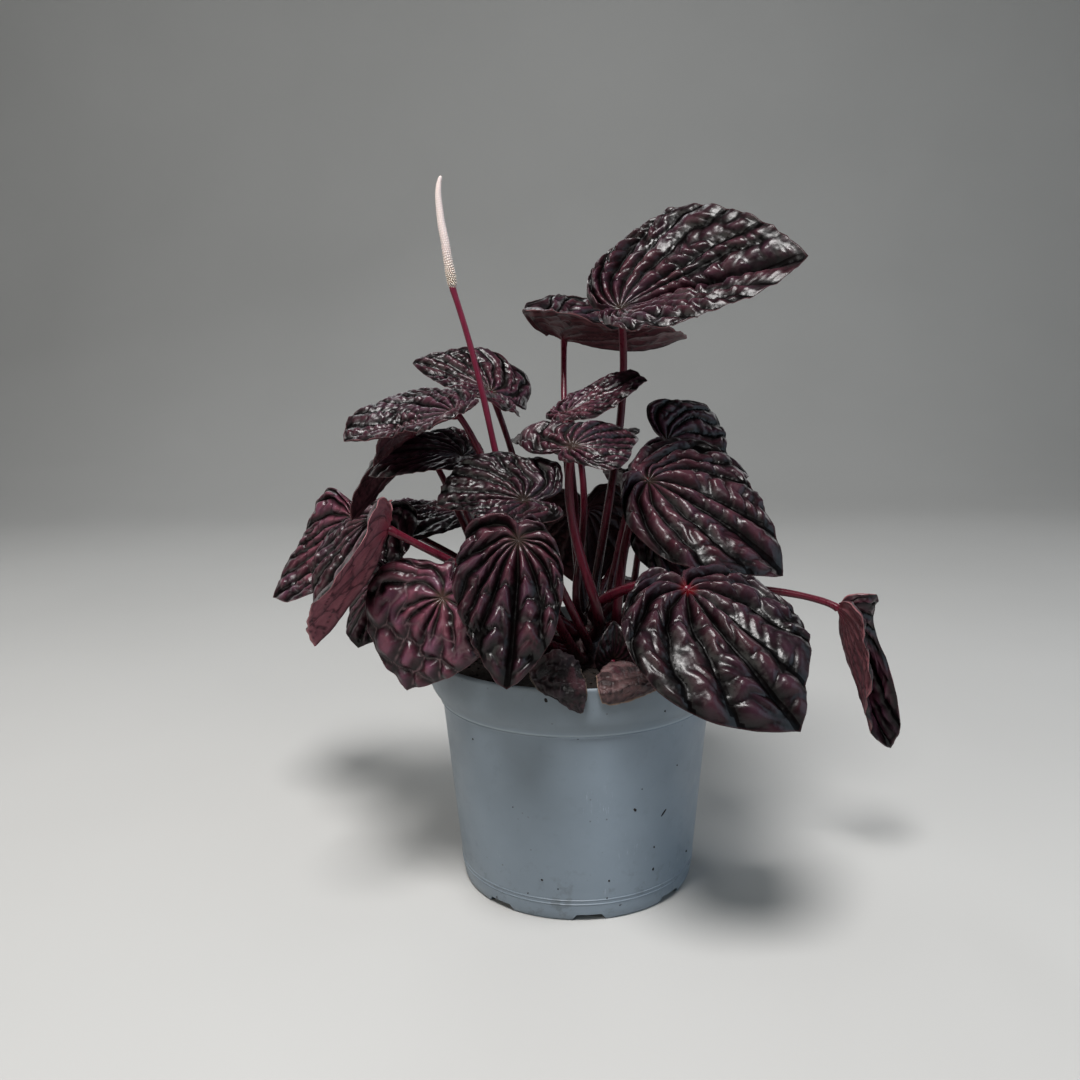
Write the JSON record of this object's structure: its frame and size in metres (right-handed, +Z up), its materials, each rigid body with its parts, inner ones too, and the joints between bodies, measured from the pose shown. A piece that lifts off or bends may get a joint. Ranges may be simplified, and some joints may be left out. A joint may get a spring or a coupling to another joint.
{
  "type": "potted foliage plant",
  "caption": "Small potted foliage plant with dark ribbed heart-shaped leaves on red stalks, a pale upright flower spike and a tapered nursery pot.",
  "frame": {"origin": "on the floor, on the axis of the pot, close to the middle of the bounding box", "axes": "+Z up along the pot's axis, -Y towards the front of the plant, +X to its right seen from the front"},
  "size_m": [0.2608, 0.1949, 0.2768],
  "materials": {
    "pot_plastic": "satin",
    "soil": "matt, granular",
    "leaf": "glossy, deeply corrugated",
    "withered_leaf": "dull, crumpled",
    "stem": "satin, smooth",
    "flower": "matt, finely grained"
  },
  "bodies": {
    "root": {"pot": "pot_plastic", "soil": "soil", "crown": "stem", "leaf_01_blade": "leaf", "leaf_01_petiole": "stem", "leaf_02_blade": "leaf", "leaf_02_petiole": "stem", "leaf_03_blade": "leaf", "leaf_03_petiole": "stem", "leaf_04_blade": "leaf", "leaf_04_petiole": "stem", "leaf_05_blade": "leaf", "leaf_05_petiole": "stem", "leaf_06_blade": "leaf", "leaf_06_petiole": "stem", "leaf_07_blade": "leaf", "leaf_07_petiole": "stem", "leaf_08_blade": "leaf", "leaf_08_petiole": "stem", "leaf_09_blade": "leaf", "leaf_09_petiole": "stem", "leaf_10_blade": "leaf", "leaf_10_petiole": "stem", "leaf_11_blade": "leaf", "leaf_11_petiole": "stem", "leaf_12_blade": "leaf", "leaf_12_petiole": "stem", "leaf_13_blade": "leaf", "leaf_13_petiole": "stem", "leaf_14_blade": "leaf", "leaf_14_petiole": "stem", "leaf_15_blade": "leaf", "leaf_15_petiole": "stem", "leaf_16_blade": "leaf", "leaf_16_petiole": "stem", "leaf_17_blade": "leaf", "leaf_17_petiole": "stem", "leaf_18_blade": "leaf", "leaf_18_petiole": "stem", "leaf_19_blade": "leaf", "leaf_19_petiole": "stem", "leaf_20_blade": "leaf", "leaf_20_petiole": "stem", "leaf_21_blade": "leaf", "leaf_21_petiole": "stem", "leaf_22_blade": "leaf", "leaf_22_petiole": "stem", "leaf_23_blade": "leaf", "leaf_23_petiole": "stem", "leaf_24_blade": "leaf", "leaf_24_petiole": "stem", "leaf_25_blade": "leaf", "leaf_25_petiole": "stem", "leaf_26_blade": "leaf", "leaf_26_petiole": "stem", "young_leaf": "leaf", "withered_leaf_1": "withered_leaf", "withered_leaf_2": "withered_leaf", "flower_stalk": "stem", "flower_spike": "flower"}
  },
  "joints": []
}
